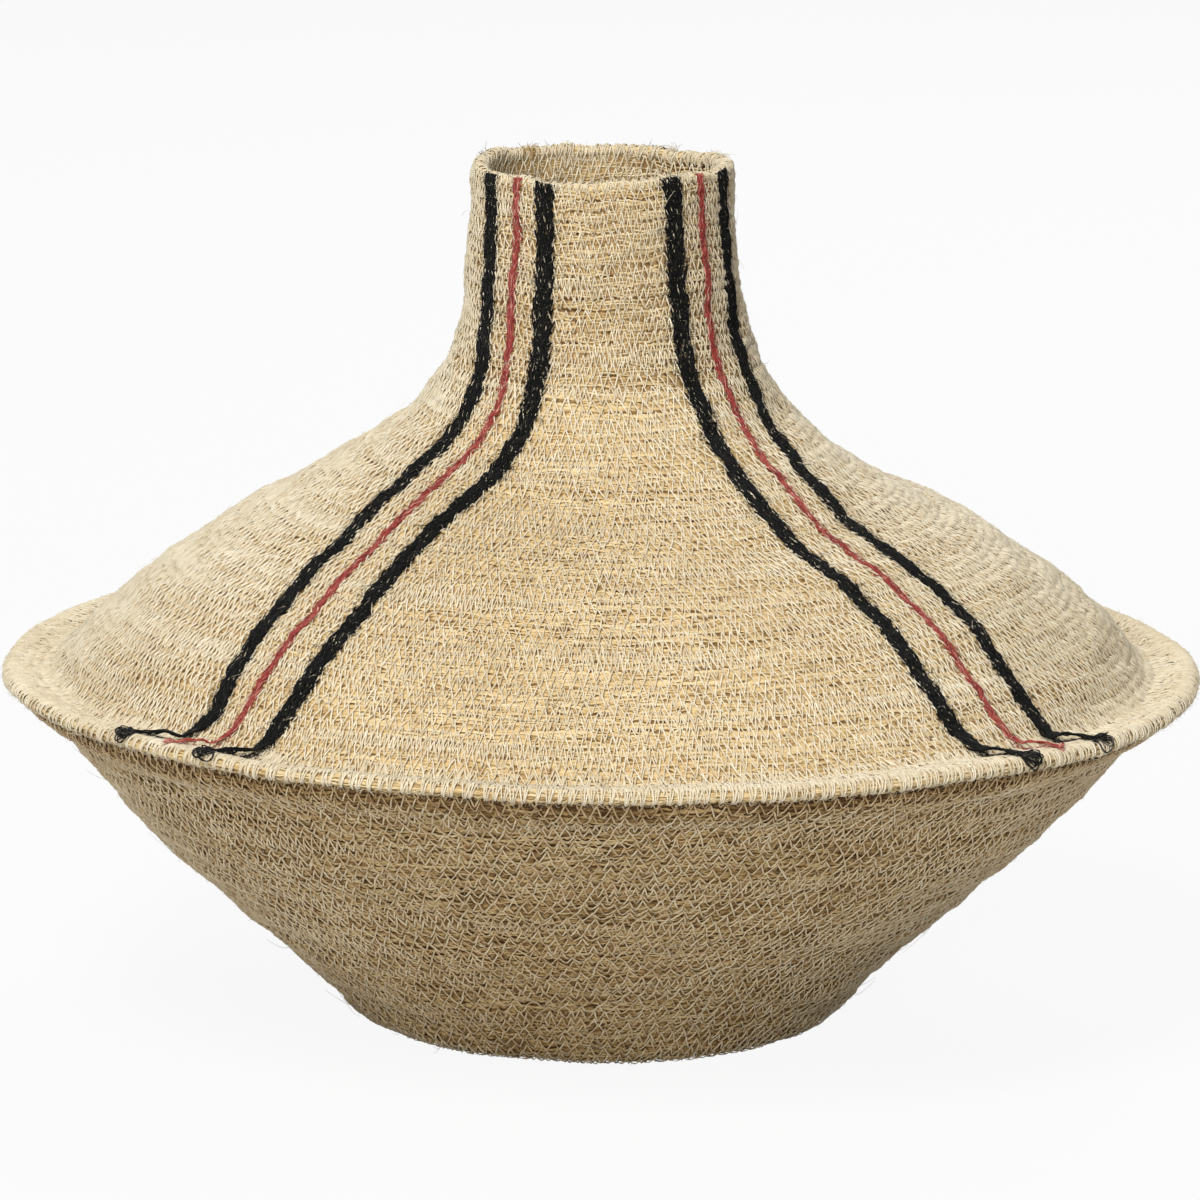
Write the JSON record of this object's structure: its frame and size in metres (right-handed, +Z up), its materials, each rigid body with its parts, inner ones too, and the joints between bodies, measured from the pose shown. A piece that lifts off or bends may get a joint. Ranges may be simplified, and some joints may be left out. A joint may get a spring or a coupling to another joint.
{
  "type": "kiondo basket",
  "caption": "Coiled grass vase-shaped basket: flared bowl, broad raised edge, domed shoulder and narrow open neck, with black and red yarn lines.",
  "frame": {"origin": "on the basket's axis at the level of the base's flat underside", "axes": "+Z up along the neck, -Y towards the front of the picture, +X to the picture's right"},
  "size_m": [0.55, 0.55, 0.3957],
  "materials": {
    "base_disc": "coiled grass sewn with pale zigzag thread",
    "bowl_wall": "coiled grass sewn with pale zigzag thread",
    "shoulder": "coiled grass sewn with pale zigzag thread",
    "neck": "coiled grass sewn with pale zigzag thread",
    "rim_coil": "grass coil sewn over with pale thread",
    "mouth_coil": "grass coil sewn over with pale thread",
    "black_yarn": "fuzzy black yarn",
    "red_yarn": "fuzzy red yarn"
  },
  "bodies": {
    "root": {"base_disc": "base_disc", "bowl_wall": "bowl_wall", "rim_coil": "rim_coil", "shoulder": "shoulder", "neck": "neck", "mouth_coil": "mouth_coil", "line_front_right_black_inner": "black_yarn", "line_front_right_red": "red_yarn", "line_front_right_black_outer": "black_yarn", "line_front_left_black_inner": "black_yarn", "line_front_left_red": "red_yarn", "line_front_left_black_outer": "black_yarn", "line_back_right_black_inner": "black_yarn", "line_back_right_red": "red_yarn", "line_back_right_black_outer": "black_yarn", "line_back_left_black_inner": "black_yarn", "line_back_left_red": "red_yarn", "line_back_left_black_outer": "black_yarn"}
  },
  "joints": []
}
